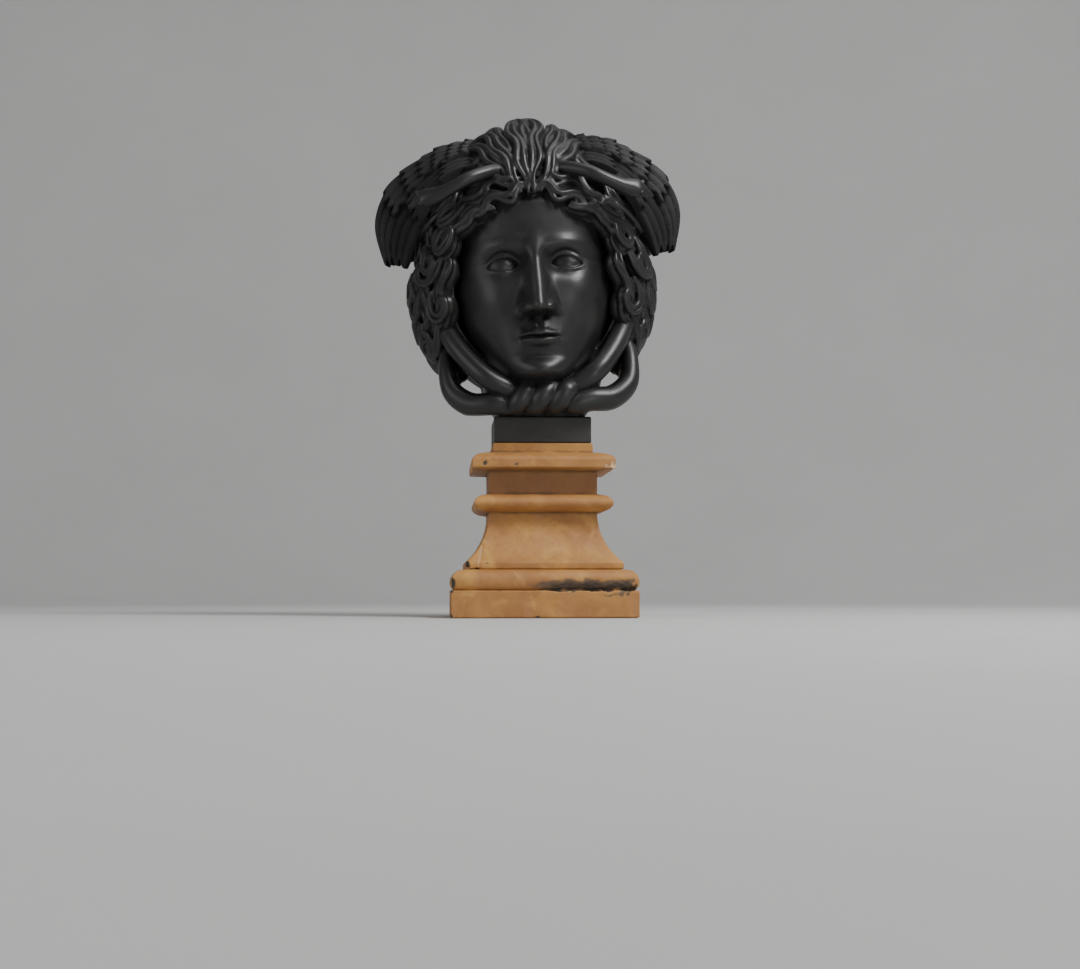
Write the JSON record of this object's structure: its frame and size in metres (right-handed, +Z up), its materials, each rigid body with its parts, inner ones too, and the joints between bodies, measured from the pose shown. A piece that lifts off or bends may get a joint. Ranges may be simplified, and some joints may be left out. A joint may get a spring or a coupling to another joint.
{
  "type": "winged gorgon mask on a moulded socle",
  "caption": "Winged gorgon mask in black marble, with wavy locks and snakes knotted under the chin, on a plain black neck block, a moulded ochre marble socle and a square plinth.",
  "frame": {"origin": "centre of the plinth's underside", "axes": "+Z up through the crown, -Y the way the face looks, +X towards the wing on the viewer's right"},
  "size_m": [0.417, 0.2582, 0.6774],
  "materials": {
    "black_marble": "satin",
    "honed_black_marble": "matte",
    "ochre_marble": "matte"
  },
  "bodies": {
    "root": {"gorgon_mask": "black_marble", "neck_block": "honed_black_marble", "socle": "ochre_marble", "plinth": "ochre_marble"}
  },
  "joints": []
}
